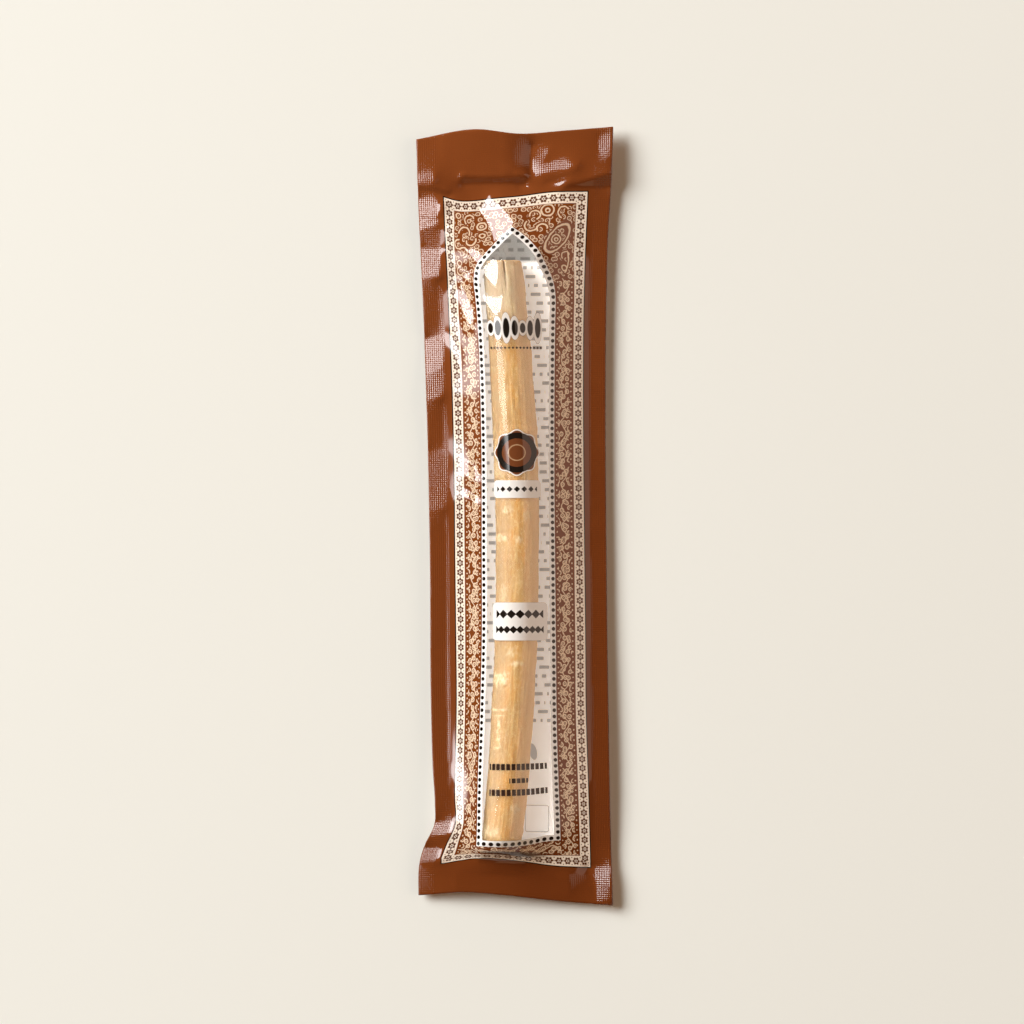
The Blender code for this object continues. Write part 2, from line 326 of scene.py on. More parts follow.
printPlan = {
    "frameHalfWidth": 18.8,
    "frameLow": -92.0,
    "frameHigh": 84.0,
    "dotsHalfWidth": 9.35,
    "dotsLow": -84.0,
    "pinnedTo": 60.0,
    "rimEnd": 1.3,
    "frameLeft": [(82, -18.4), (56, -17.1), (35, -16.2), (16, -15.7), (-11, -15.4), (-32, -15.15),
                  (-48, -15.0), (-73, -15.4), (-81, -15.5), (-85, -17.4), (-89, -19.0)],
    "frameRight": [(82, 19.0), (56, 18.0), (35, 17.8), (14, 17.9), (-11, 18.15), (-32, 18.4), (-48, 18.5),
                   (-73, 19.3), (-90, 19.8)],
    "dotsLeft": [(90, -10.2), (75, -10.4), (69, -10.7), (65.5, -11.1), (60.7, -10.7), (56, -9.7),
                 (51, -9.15), (43, -8.65), (35, -8.35), (25, -8.1), (-11, -7.9), (-32, -7.9), (-58, -8.6),
                 (-73, -9.1), (-84, -9.25), (-95, -9.4)],
    "dotsRight": [(90, 9.8), (72, 9.6), (66, 9.3), (62, 9.8), (59, 10.0), (56, 10.05), (50, 9.9), (43, 9.8),
                  (14, 9.65), (-11, 9.85), (-32, 10.05), (-58, 10.4), (-73, 10.95), (-84, 11.3),
                  (-95, 11.0)],
    "frameTop": [(-18.8, 82.75), (-14.4, 81.6), (-10.7, 81.6), (-7.1, 82.0), (1.2, 82.75), (8.9, 83.8),
                 (19, 84.1)],
    "frameBottom": [(-18.5, -89.7), (-8.7, -88.2), (12, -90.6), (19.8, -91.0)],
    "dotsBottom": [(-9.3, -84.4), (-2, -84.5), (4.4, -84.0), (7.5, -83.4), (11.4, -83.1), (19, -83.0)],
}


def makePlan(columns, rows, left=None, right=None, low=None, high=None):
    # plan places of a grid: columns follow the side edges, rows follow the end edges
    s, t = np.meshgrid(np.linspace(0, 1, columns + 1), np.linspace(0, 1, rows + 1))
    nominalX = (s - 0.5) * sachet["flatWidth"]
    lowY = curveThrough(sachet["lowerEdge"], nominalX) if low is None else low
    highY = curveThrough(sachet["upperEdge"], nominalX) if high is None else high
    y = lowY + (highY - lowY) * t
    leftX = leftEdge(y) if left is None else left(y)
    rightX = rightEdge(y) if right is None else right(y)
    return leftX + (rightX - leftX) * s, y


def flatPlaces(x, y, z):
    # the flat film's coordinates: true length across the film, pinned to the drawn lines of the print
    step = np.hypot(np.diff(x, axis=1), np.diff(z, axis=1))
    length = np.concatenate([np.zeros((x.shape[0], 1)), np.cumsum(step, axis=1)], axis=1)
    half = sachet["flatWidth"] / 2
    flats = [-half, -printPlan["frameHalfWidth"], -printPlan["dotsHalfWidth"],
             printPlan["dotsHalfWidth"], printPlan["frameHalfWidth"], half]
    middle = y.shape[1] // 2
    names = ("frameLeft", "dotsLeft", "dotsRight", "frameRight")
    lines = [curveThrough(printPlan[name], y[:, middle]) for name in names]
    u = np.empty_like(x)
    for row in range(x.shape[0]):
        inner = [np.interp(line[row], x[row], length[row]) for line in lines]
        marks = [length[row, 0], *inner, length[row, -1]]
        u[row] = np.interp(length[row], marks, flats)
    top = curveThrough(printPlan["frameTop"], x)
    bottom = curveThrough(printPlan["frameBottom"], x)
    dots = curveThrough(printPlan["dotsBottom"], x)
    pinned = printPlan["pinnedTo"]
    v = np.where(y > pinned, pinned + (y - pinned) * (printPlan["frameHigh"] - pinned) / (top - pinned), y)
    v = np.where(y > top, printPlan["frameHigh"] + (y - top), v)
    between = (y < -pinned) & (y >= dots)
    v = np.where(between, -pinned + (y + pinned) * (printPlan["dotsLow"] + pinned) / (dots + pinned), v)
    # the dotted rim keeps its width, the strip under it is foreshortened
    rimEnd = printPlan["rimEnd"]
    strip = (y < dots) & (y >= bottom)
    share = (dots - rimEnd - y) / (dots - rimEnd - bottom)
    low = printPlan["dotsLow"] - rimEnd
    shortened = low + share * (printPlan["frameLow"] - low)
    v = np.where(strip, np.where(share < 0, printPlan["dotsLow"] + y - dots, shortened), v)
    v = np.where(y < bottom, printPlan["frameLow"] + (y - bottom), v)
    return u, v


def readPlaces(mesh):
    places = np.empty(len(mesh.vertices) * 3)
    mesh.vertices.foreach_get("co", places)
    return places.reshape(-1, 3)


def addSheet(name, x, y, z, uvs=None):
    # a grid primitive laid over the height field
    rows, columns = x.shape[0] - 1, x.shape[1] - 1
    bpy.ops.mesh.primitive_grid_add(x_subdivisions=columns, y_subdivisions=rows, size=1)
    sheet = bpy.context.object
    sheet.name = name
    sheet.data.name = name
    places = readPlaces(sheet.data)
    column = np.rint((places[:, 0] + 0.5) * columns).astype(int)
    row = np.rint((places[:, 1] + 0.5) * rows).astype(int)
    places = np.stack([x[row, column], y[row, column], z[row, column]], axis=1) * mm
    sheet.data.vertices.foreach_set("co", places.ravel())
    if uvs is not None:
        layer = sheet.data.uv_layers[0]
        layer.name = "flat film"
        corner = np.empty(len(sheet.data.loops), dtype=np.int32)
        sheet.data.loops.foreach_get("vertex_index", corner)
        flat = np.stack([uvs[0][row, column], uvs[1][row, column]], axis=1)
        layer.data.foreach_set("uv", flat[corner].ravel())
    sheet.data.update()
    return sheet


def thicken(sheet, thickness):
    solidify = sheet.modifiers.new("film thickness", "SOLIDIFY")
    solidify.thickness = thickness * mm
    solidify.offset = 1.0
    bpy.context.view_layer.objects.active = sheet
    bpy.ops.object.modifier_apply(modifier=solidify.name)
    sheet.data.polygons.foreach_set("use_smooth", [True] * len(sheet.data.polygons))


# numbers of a node tree written with ordinary signs

def operation(kind):
    def apply(self, *others):
        return self.op(kind, *others)
    return apply


class Num:
    def __init__(self, tree, socket):
        self.tree = tree
        self.socket = socket

    def op(self, kind, second=None, third=None, clamp=False):
        node = self.tree.nodes.new("ShaderNodeMath")
        node.operation = kind
        node.use_clamp = clamp
        for slot, value in enumerate((self, second, third)):
            if isinstance(value, Num):
                self.tree.links.new(value.socket, node.inputs[slot])
            elif value is not None:
                node.inputs[slot].default_value = value
        return Num(self.tree, node.outputs[0])

    __add__ = operation("ADD")
    __sub__ = operation("SUBTRACT")
    __mul__ = operation("MULTIPLY")
    absolute = operation("ABSOLUTE")
    high = operation("MAXIMUM")
    low = operation("MINIMUM")
    wave = operation("COSINE")
    above = operation("GREATER_THAN")

    def __neg__(self):
        return self.op("MULTIPLY", -1.0)

    def inverse(self):
        return self.op("MULTIPLY_ADD", -1.0, 1.0)

    def clamped(self):
        return self.op("ADD", 0.0, clamp=True)

    def cell(self, pitch, shift=0.0):
        # place within a repeat, from -pitch/2 to pitch/2
        turn = self.op("MULTIPLY_ADD", 1 / pitch, 0.5 - shift / pitch).op("FRACT")
        return turn.op("MULTIPLY_ADD", pitch, -pitch / 2)

    def ink(self, soft=0.07):
        # 1 where the distance is below zero, with a soft edge
        return self.op("MULTIPLY_ADD", -1 / soft, 0.5, clamp=True)


class Spot:
    def __init__(self, tree, socket):
        self.tree = tree
        self.socket = socket

    @staticmethod
    def of(u, v):
        node = u.tree.nodes.new("ShaderNodeCombineXYZ")
        u.tree.links.new(u.socket, node.inputs[0])
        u.tree.links.new(v.socket, node.inputs[1])
        return Spot(u.tree, node.outputs[0])

    def away(self, x, y):
        node = self.tree.nodes.new("ShaderNodeVectorMath")
        node.operation = "DISTANCE"
        self.tree.links.new(self.socket, node.inputs[0])
        node.inputs[1].default_value = (x, y, 0)
        return Num(self.tree, node.outputs["Value"])

    def turned(self, x, y, degrees=0.0, stretch=(1.0, 1.0)):
        # the spot seen from (x, y), turned and stretched
        node = self.tree.nodes.new("ShaderNodeMapping")
        node.vector_type = "TEXTURE"
        self.tree.links.new(self.socket, node.inputs["Vector"])
        setValues(node, {"Location": (x, y, 0), "Rotation": (0, 0, math.radians(degrees)),
                         "Scale": (*stretch, 1)})
        return Spot(self.tree, node.outputs[0])

    def parts(self):
        node = self.tree.nodes.new("ShaderNodeSeparateXYZ")
        self.tree.links.new(self.socket, node.inputs[0])
        return Num(self.tree, node.outputs[0]), Num(self.tree, node.outputs[1])

    def disc(self, x, y, radius):
        return self.away(x, y) - radius

    def ring(self, x, y, radius, line):
        return (self.away(x, y) - radius).absolute() - line / 2

    def box(self, x, y, halfWidth, halfHeight, corner=0.0):
        u, v = self.parts()
        across = (u - x).absolute() - (halfWidth - corner)
        along = (v - y).absolute() - (halfHeight - corner)
        if corner == 0.0:
            return across.high(along)
        outside = Spot.of(across.high(0.0), along.high(0.0)).away(0, 0)
        return outside + across.high(along).low(0.0) - corner


def union(shapes):
    total = shapes[0]
    for shape in shapes[1:]:
        total = total.low(shape)
    return total


def mixColour(tree, share, first, second):
    node = tree.nodes.new("ShaderNodeMix")
    node.data_type = "RGBA"
    tree.links.new(share.socket, node.inputs["Factor"])
    for slot, value in ((6, first), (7, second)):
        if isinstance(value, tuple):
            node.inputs[slot].default_value = (*value, 1.0)
        else:
            tree.links.new(value, node.inputs[slot])
    return node.outputs[2]


def setValues(node, values):
    for name, value in values.items():
        node.inputs[name].default_value = value


def addBump(tree, shader, height, strength, distance):
    bump = tree.nodes.new("ShaderNodeBump")
    setValues(bump, {"Strength": strength, "Distance": distance * mm})
    tree.links.new(height.socket, bump.inputs["Height"])
    tree.links.new(bump.outputs[0], shader.inputs["Normal"])


def flatFilm(tree):
    # the print's coordinates on the flat film
    uv = tree.nodes.new("ShaderNodeUVMap")
    uv.uv_map = "flat film"
    return uv.outputs[0]


def newMaterial(name):
    material = bpy.data.materials.new(name)
    material.use_nodes = True
    tree = material.node_tree
    shader = tree.nodes["Principled BSDF"]
    return material, tree, shader


# the printed front film

printInk = {
    "brown": (0.158, 0.035, 0.0065),
    "brownLight": (0.26, 0.066, 0.0155),
    "cream": (0.93, 0.80, 0.66),
    "black": (0.012, 0.005, 0.003),
    "darkBrown": (0.12, 0.04, 0.016),
    "white": (0.92, 0.89, 0.85),
    "lace": (0.80, 0.60, 0.41),
    "band": 2.9,
    "line": 0.32,
    "rosettePitch": 2.42,
    "dotPitch": 139 / 86,
    "dotPitchBelow": 9.35 / 6,
    "dotRadius": 0.5,
    "wander": 0.5,
    "lightPassed": 0.72,
    "vinePitch": 5.38,
    "vineCentre": 12.85,
    "vineLow": -86.8,
    "rim": 1.5,
    "dotInset": 0.85,
    "arcRadius": 24.75,
    "springing": 55.0,
    # painted shadow in the lower fold: its colour, place and strength
    "paintedCreaseShadowColour": (0.04, 0.012, 0.004),
    "paintedCreaseShadowPlace": (-1.5, -88.2, -5, (9.5, 1.7)),
    "paintedCreaseShadowStrength": 0.85,
    "roughness": 0.08,
    "refraction": 1.55,
    "lift": 0.13,
    "thickness": 0.12,
}

embossing = {
    "depth": 0.075,
    "pitch": 1.1,
    "hatch": 0.3,
    "grain": 0.4,
    "grainScale": 1.6,
    "onSides": 1.3,
    "onEnds": 0.5,
    "upperLine": 86.5,
    "lowerLine": -93.5,
    "reach": 1.2,
    "steepness": 1.2,
}


def archDistance(spot, half, low, springing, radius):
    # pointed window: a box below the springing line, two arcs above it
    u, v = spot.parts()
    side = u.absolute()
    lower = (side - half).high(-(v - low))
    above = Spot.of(side, v).away(half - radius, springing) - radius
    isAbove = v.above(springing)
    return lower + (above - lower) * isAbove


def rosettes(along, cross):
    pitch = printInk["rosettePitch"]
    place = Spot.of(along.cell(pitch), cross)
    distance = place.away(0, 0)
    p, q = place.parts()
    lobes = (q.op("ARCTAN2", p) * 6.0).wave()
    ring = (distance - 0.66).absolute() - (lobes * 0.14 + 0.26)
    between = Spot.of(along.cell(pitch, pitch / 2), cross.absolute())
    return union([ring, distance - 0.19, between.disc(0, 0.95, 0.14), between.disc(0, 0, 0.12)])


def lace(spot, line, centre):
    # small rings strewn evenly, each with a dot in it
    cells = spot.tree.nodes.new("ShaderNodeTexVoronoi")
    cells.voronoi_dimensions = "2D"
    setValues(cells, {"Scale": 1 / scrollwork["laceSize"], "Randomness": 0.75})
    spot.tree.links.new(spot.socket, cells.inputs["Vector"])
    middles = Num(spot.tree, cells.outputs["Distance"])
    return ((middles - 0.33).absolute() - line).low(middles - centre) * scrollwork["laceSize"]


def vine(blossoms, along, cross):
    # a winding stem with blossoms on both sides of it
    turn = along * (math.pi * 2 / printInk["vinePitch"])
    stem = (cross - turn.wave() * 0.8).absolute() - 0.17
    leaves = Spot.of(cross.absolute(), along.cell(printInk["vinePitch"] / 4)).disc(2.15, 0, 0.2)
    edge = cross.absolute() - ((turn * 2.0).wave() * 0.3 + 1.7)
    return union([blossoms.high(edge), stem, leaves])


def buildPrintMaterial():
    material, tree, shader = newMaterial("printed sachet film")
    flat = flatFilm(tree)
    spot = Spot(tree, flat)
    u, v = spot.parts()

    low, high = printPlan["frameLow"], printPlan["frameHigh"]
    middle = (low + high) / 2
    fromSide = u.absolute() - printPlan["frameHalfWidth"]
    fromEnd = (v - middle).absolute() - (high - low) / 2
    frameDistance = fromSide.high(fromEnd)
    onSide = fromSide.op("GREATER_THAN", fromEnd)
    along = (u - v) * onSide.inverse() + v  # along the border: v on the sides, u on the ends
    cross = frameDistance + (printInk["line"] / 2 + printInk["band"] / 2)

    outerLine = (frameDistance.absolute() - printInk["line"] / 2).ink()
    inBand = (cross.absolute() - printInk["band"] / 2).ink()
    rosetteInk = rosettes(along, cross).ink(0.12)

    clearHalf = printPlan["dotsHalfWidth"] - printInk["dotInset"]
    window = archDistance(spot, clearHalf, printPlan["dotsLow"] + printInk["dotInset"],
                          printInk["springing"], printInk["arcRadius"])
    rim = (window - printInk["rim"] / 2).absolute() - printInk["rim"] / 2
    rimInk = rim.ink()
    isClear = window.ink()

    # dots along the rim: by length on the sides and the bottom, by angle on the arcs
    side = u.absolute()
    centre = clearHalf - printInk["arcRadius"]
    arcAngle = (v - printInk["springing"]).op("ARCTAN2", side - centre)
    sideRun = v - printInk["springing"]
    arcRun = arcAngle * (printInk["arcRadius"] + printInk["dotInset"])
    onArc = v.above(printInk["springing"])
    run = sideRun + (arcRun - sideRun) * onArc
    onBottom = (v - (printPlan["dotsLow"] + printInk["dotInset"])).op("LESS_THAN", 0.0)
    onSides = run.cell(printInk["dotPitch"])
    across = u.cell(printInk["dotPitchBelow"])
    fromRow = window - printInk["dotInset"]
    below = -v + printPlan["dotsLow"]
    dotPlace = Spot.of(onSides + (across - onSides) * onBottom, fromRow + (below - fromRow) * onBottom)
    dots = dotPlace.disc(0, 0, printInk["dotRadius"]).ink(0.1)

    # a vine on the sides and the bottom strip, a little unsteady as printed scrollwork is
    wander = tree.nodes.new("ShaderNodeTexNoise")
    wander.inputs["Scale"].default_value = 0.8
    tree.links.new(flat, wander.inputs["Vector"])
    offset = tree.nodes.new("ShaderNodeVectorMath")
    offset.operation = "MULTIPLY_ADD"
    tree.links.new(wander.outputs["Color"], offset.inputs[0])
    offset.inputs[1].default_value = (printInk["wander"],) * 3
    tree.links.new(flat, offset.inputs[2])
    shift = tree.nodes.new("ShaderNodeVectorMath")
    shift.operation = "SUBTRACT"
    tree.links.new(offset.outputs[0], shift.inputs[0])
    shift.inputs[1].default_value = (printInk["wander"] / 2,) * 3
    loose = Spot(tree, shift.outputs[0])
    looseU, looseV = loose.parts()
    inside = (frameDistance + 3.2).high(-(window - printInk["rim"]))
    blossoms = lace(loose, 0.105, 0.1)
    vineSide = vine(blossoms, looseV, looseU.absolute() - printInk["vineCentre"]).high(v - 61.5)
    vineEnd = vine(blossoms, looseU, -looseV + printInk["vineLow"]).high(v - printInk["vineLow"] - 2.2)
    beside = (side - 10.4).above(0.0)
    vines = vineEnd + (vineSide - vineEnd) * beside
    ornament = vines.low(spandrels(loose, v)).ink(0.12) * inside.ink()

    # painted light: the brown is lighter toward the top and the left, where the lamp is, on top of random
    # stains
    stainsAndPaintedLight = (stains(tree, 0.08) * 0.4 + v * 0.0027 + u * -0.0086 + 0.12).clamped()
    brown = mixColour(tree, stainsAndPaintedLight, printInk["brown"], printInk["brownLight"])
    colour = mixColour(tree, ornament, brown, printInk["lace"])
    colour = mixColour(tree, outerLine, colour, printInk["black"])
    bandColour = mixColour(tree, rosetteInk, printInk["cream"], printInk["darkBrown"])
    colour = mixColour(tree, inBand, colour, bandColour)
    colour = mixColour(tree, rimInk, colour, printInk["white"])
    colour = mixColour(tree, dots * rimInk, colour, printInk["black"])
    # painted shadow: a dark oval under the lower fold stands in for the shade in the crease
    paintedCreaseShadow = spot.turned(*printInk["paintedCreaseShadowPlace"]).away(0, 0)
    paintedCreaseShadow = (paintedCreaseShadow * -2.2 + 2.2).clamped() * printInk["paintedCreaseShadowStrength"]
    colour = mixColour(tree, paintedCreaseShadow, colour, printInk["paintedCreaseShadowColour"])
    labelColour, labelMask = labels(tree, spot)
    colour = mixColour(tree, labelMask, colour, labelColour)
    tree.links.new(colour, shader.inputs["Base Color"])
    # thin ink lets part of the light through to the stick and the back film
    light = tree.nodes.new("ShaderNodeLightPath")
    passed = Num(tree, light.outputs["Is Shadow Ray"]) * printInk["lightPassed"]
    alpha = isClear.inverse().high(labelMask) * passed.inverse()
    tree.links.new(alpha.socket, shader.inputs["Alpha"])

    # heat-seal embossing on the sealed margins
    addBump(tree, shader, sealEmboss(spot), 1.0, embossing["depth"])
    setValues(shader, {"Roughness": printInk["roughness"], "IOR": printInk["refraction"]})
    return material


def stains(tree, scale):
    return noiseValue(tree, flatFilm(tree), scale, 4.0)


def sealEmboss(spot):
    u, v = spot.parts()
    turns = math.pi * 2 / embossing["pitch"]
    steep = embossing["steepness"]
    hatch = ((u + v) * turns).wave() * ((u - v) * turns).wave()
    grain = stains(spot.tree, embossing["grainScale"])
    margin = (u.absolute() - (sachet["flatWidth"] / 2 - sachet["sideSeal"] - embossing["reach"])) * steep
    upper = (v - embossing["upperLine"]) * steep
    lower = -(v - embossing["lowerLine"]) * steep
    onSides = margin.clamped() * embossing["onSides"]
    onEnds = upper.high(lower).clamped() * embossing["onEnds"]
    return (hatch * embossing["hatch"] + grain * embossing["grain"]) * onSides.high(onEnds)


def arc(spot, x, y, radius, line, middle, half):
    p, q = spot.turned(x, y, middle).parts()
    reach = (q.op("ARCTAN2", p).absolute() - math.radians(half)) * radius
    return spot.ring(x, y, radius, line).high(reach)


def spandrels(spot, v):
    # scrollwork over the arch, with a lace of small rings between the scrolls
    scrolls = [spot.ring(*ring) for ring in scrollwork["rings"]]
    scrolls += [arc(spot, *bend) for bend in scrollwork["arcs"]]
    for x, y, turn, halfWidth, halfHeight, line in scrollwork["drops"]:
        oval = spot.turned(x, y, turn, (halfWidth, halfHeight)).away(0, 0) - 1.0
        scrolls.append(oval.absolute() * min(halfWidth, halfHeight) - line / 2)
    scrolls = union(scrolls)
    return scrolls.low(lace(spot, 0.075, 0.06).high(-(scrolls - 0.38))).high(-(v - 60.5))


scrollwork = {
    "laceSize": 1.5,
    "rings": [
        (-7.6, 76.3, 1.05, 0.4), (-7.6, 76.3, 0.35, 0.3), (-7.4, 73.6, 0.6, 0.35), (-14.4, 79.6, 0.7, 0.35),
        (-14.0, 66.0, 0.8, 0.36), (-12.6, 62.6, 0.7, 0.34),
        (8.3, 79.3, 1.5, 0.4), (8.3, 79.3, 0.5, 0.34), (10.6, 71.6, 1.2, 0.34), (10.6, 71.6, 0.45, 0.3),
        (13.0, 64.2, 0.7, 0.34),
    ],
    "arcs": [
        (-12.4, 74.6, 1.7, 0.42, 80, 105), (-10.2, 72.4, 1.4, 0.42, -80, 105),
        (-14.2, 71.4, 1.3, 0.38, 200, 120), (-12.6, 69.0, 1.5, 0.38, 30, 120),
        (-11.0, 78.4, 1.4, 0.4, 120, 110), (-13.8, 63.8, 1.2, 0.36, 180, 110),
        (5.3, 78.3, 1.25, 0.4, 60, 130), (4.4, 75.6, 1.5, 0.4, 240, 110),
        (7.0, 74.6, 1.2, 0.38, 100, 110), (12.4, 78.6, 1.5, 0.38, 140, 110),
        (9.2, 66.4, 5.1, 0.36, -8, 34), (13.4, 67.4, 1.0, 0.34, 120, 110),
    ],
    "drops": [(11.0, 71.9, -40, 2.2, 4.3, 0.36)],
}


def beadRow(spot, x, y, beads, gap, halfWidth, halfHeights):
    # upright oval beads of changing height
    shapes = []
    for turn in range(beads):
        place = x + (turn - (beads - 1) / 2) * gap
        bead = spot.turned(place, y, 0, (halfWidth, halfHeights[turn % len(halfHeights)])).away(0, 0) - 1.0
        shapes.append(bead * halfWidth)
    return union(shapes)


def diamondRow(spot, x, y, halfLength, pitch, size):
    u, v = spot.parts()
    diamond = (u - x).cell(pitch).absolute() + (v - y).absolute() - size
    return diamond.high((u - x).absolute() - halfLength)


def labels(tree, spot):
    # plain ornaments where the printed marks are, none of them lettering
    white, black, brown = (0.86, 0.81, 0.76), (0.012, 0.008, 0.006), (0.17, 0.05, 0.016)
    tan, dark = (0.5, 0.3, 0.16), (0.03, 0.015, 0.01)
    fromMiddle = spot.away(-0.1, 16.4)
    u, v = spot.turned(-0.1, 16.4).parts()
    medal = fromMiddle - ((v.op("ARCTAN2", u) * 8.0).wave() * 0.35 + 5.7)
    banner = spot.box(-0.1, 7.0, 6.2, 2.3, 1.0)
    tag = spot.box(0.5, -27.1, 7.2, 4.9, 1.1)
    beads = beadRow(spot, -0.4, 48.5, 7, 1.95, 0.72, (1.3, 2.0, 2.6, 2.0))
    rows = [spot.box(0.3, -64.5, 6.9, 0.8), spot.box(0.3, -68.0, 2.2, 0.6), spot.box(0.3, -71.0, 6.9, 0.8)]
    blocks = union(rows).high((u - 0.3).cell(1.15).absolute() - 0.42)
    rule = diamondRow(spot, 0.0, 43.4, 6.8, 0.9, 0.34)
    colour = mixColour(tree, (medal + 0.35).ink(), white, brown)
    colour = mixColour(tree, ((fromMiddle - 4.4).absolute() - 0.75).ink(), colour, black)
    colour = mixColour(tree, ((fromMiddle - 2.0).absolute() - 0.14).ink(), colour, tan)
    for row in ((-0.1, 7.0, 5.2, 1.75, 0.75), (0.5, -25.2, 6.1, 2.04, 1.15), (0.5, -29.2, 6.2, 1.56, 1.0)):
        colour = mixColour(tree, diamondRow(spot, *row).ink(), colour, black)
    colour = mixColour(tree, beads.ink(), colour, black)
    thin = blocks.low(rule).ink()
    colour = mixColour(tree, thin, colour, dark)
    return colour, union([beads - 0.4, medal, banner, tag]).ink().high(thin)


def buildFrontPrint(field):
    x, y = makePlan(sachet["columns"], sachet["rows"])
    z = readField(field, "front", x, y) + printInk["lift"]
    u, v = flatPlaces(x, y, z)
    sheet = addSheet("front_print", x, y, z, (u, v))
    thicken(sheet, printInk["thickness"])
    sheet.data.materials.append(buildPrintMaterial())
    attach(sheet, "root")
    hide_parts("front_film")
    print("front print laid")


# the clear window film under the print

clearFilm = {
    "columns": 64,
    "rows": 330,
    "overlap": 1.4,
    "low": -85.6,
    "high": 78.5,
    "lift": 0.02,
    "thickness": 0.08,
    "refraction": 1.36,
    "roughness": 0.05,
}


def buildWindowFilm(field):
    x, y = makePlan(clearFilm["columns"], clearFilm["rows"],
                    left=lambda at: curveThrough(printPlan["dotsLeft"], at) - clearFilm["overlap"],
                    right=lambda at: curveThrough(printPlan["dotsRight"], at) + clearFilm["overlap"],
                    low=clearFilm["low"], high=clearFilm["high"])
    z = readField(field, "front", x, y) + clearFilm["lift"]
    sheet = addSheet("window_film", x, y, z)
    thicken(sheet, clearFilm["thickness"])
    material, _, shader = newMaterial("clear film")
    setValues(shader, {"Base Color": (1, 1, 1, 1), "Transmission Weight": 1.0,
                       "IOR": clearFilm["refraction"], "Roughness": clearFilm["roughness"]})
    sheet.data.materials.append(material)
    sheet.visible_shadow = False
    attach(sheet, "root")
    print("window film laid")


# the back film

backPrint = {
    "columns": 72,
    "rows": 230,
    "thinner": 0.03,
    "pale": (0.92, 0.875, 0.81),
    "dashColour": (0.17, 0.16, 0.15),
    "dashShare": 0.75,
    "dashPitch": 2.3,
    # painted shade above the end of the stick
    "paintedArchShadeColour": (0.09, 0.085, 0.075),
    "paintedArchShadeShare": 0.76,
    "outlineColour": (0.25, 0.25, 0.25),
    # strength of the painted glow
    "paintedGlow": 0.3,
    "roughness": 0.3,
}


def buildBackFilm(field):
    x, y = makePlan(backPrint["columns"], backPrint["rows"])
    z = readField(field, "back", x, y)
    sheet = addSheet("back_panel_film", x, y, z, (x, y))
    bpy.ops.object.mode_set(mode="EDIT")
    bpy.ops.mesh.select_all(action="SELECT")
    bpy.ops.mesh.flip_normals()
    bpy.ops.object.mode_set(mode="OBJECT")
    thicken(sheet, sachet["film"] - backPrint["thinner"])
    material, tree, shader = newMaterial("pale back film")
    spot = Spot(tree, flatFilm(tree))
    u, v = spot.parts()
    line = v.cell(backPrint["dashPitch"]).absolute() - 0.45
    panel = spot.box(0.3, -2.0, 17.5, 84.0, 1.5).ink()
    bars = line.ink(0.3) * dashes(u, v) * spot.box(0.3, 12.0, 16.0, 66.0).ink()
    pale = mixColour(tree, bars * backPrint["dashShare"], backPrint["pale"], backPrint["dashColour"])
    # painted shade: the back film is drawn darker above the end of the stick, where it is seen in shade
    upper = (v * 0.8 - 52.2).clamped() * backPrint["paintedArchShadeShare"]
    pale = mixColour(tree, upper, pale, backPrint["paintedArchShadeColour"])
    square = spot.box(5.8, -78.3, 3.0, 3.4, 0.5).absolute() - 0.13
    oval = spot.turned(4.8, -61.0, 12, (1.0, 2.2)).away(0, 0) - 1.0
    outlines = square.low(oval).ink(0.2) * backPrint["dashShare"]
    pale = mixColour(tree, outlines, pale, backPrint["outlineColour"])
    colour = mixColour(tree, panel, printInk["brown"], pale)
    tree.links.new(colour, shader.inputs["Base Color"])
    # painted glow: the film emits its own colour, standing in for light that comes through the thin film
    # from the table
    tree.links.new(colour, shader.inputs["Emission Color"])
    setValues(shader, {"Emission Strength": backPrint["paintedGlow"], "Roughness": backPrint["roughness"]})
    sheet.data.materials.append(material)
    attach(sheet, "root")
    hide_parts("back_film")
    print("back film laid")


def dashes(u, v):
    # short plain dashes, set off from row to row
    pitch = backPrint["dashPitch"]
    row = (v + pitch / 2).op("SNAP", pitch)
    wide = (u + row * 1.9).cell(3.7).absolute() - 1.3
    narrow = (u + row * 1.3).cell(5.3).absolute() - 2.1
    return wide.high(narrow).ink(0.25)


# the stick

